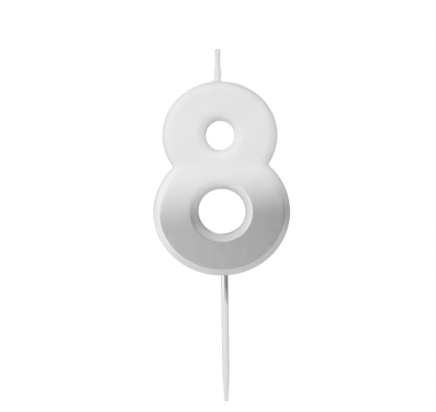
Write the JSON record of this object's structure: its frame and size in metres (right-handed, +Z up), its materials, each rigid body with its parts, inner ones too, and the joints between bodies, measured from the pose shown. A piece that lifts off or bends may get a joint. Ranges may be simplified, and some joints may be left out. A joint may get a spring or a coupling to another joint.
{
  "type": "number birthday candle",
  "caption": "White wax candle in the shape of a figure eight with a silver-sprayed lower loop, a plaited cotton wick and a plastic pick for a cake.",
  "frame": {"origin": "on the axis of the pick, at the lowest point of the wax body, where the candle sits on a cake", "axes": "+Z up along the pick and the wick, -Y towards whoever reads the figure, +X to the reader's right"},
  "size_m": [0.0492, 0.011, 0.1277],
  "materials": {
    "wax": "satin white paraffin wax",
    "silver_film": "silver metallic lacquer, sprayed and fading out at the waist",
    "cotton": "plaited cotton yarn, waxed",
    "wick_wax": "thin translucent paraffin wax",
    "pick_plastic": "moulded white plastic",
    "pick_film": "silver metallic lacquer, glossy on the plastic"
  },
  "bodies": {
    "root": {"wax_body": "wax", "body_silver_film": "silver_film", "wick_yarn_a": "cotton", "wick_yarn_b": "cotton", "wick_yarn_c": "cotton", "wick_wax_sleeve": "wick_wax", "pick": "pick_plastic", "pick_silver_film": "pick_film"}
  },
  "joints": []
}
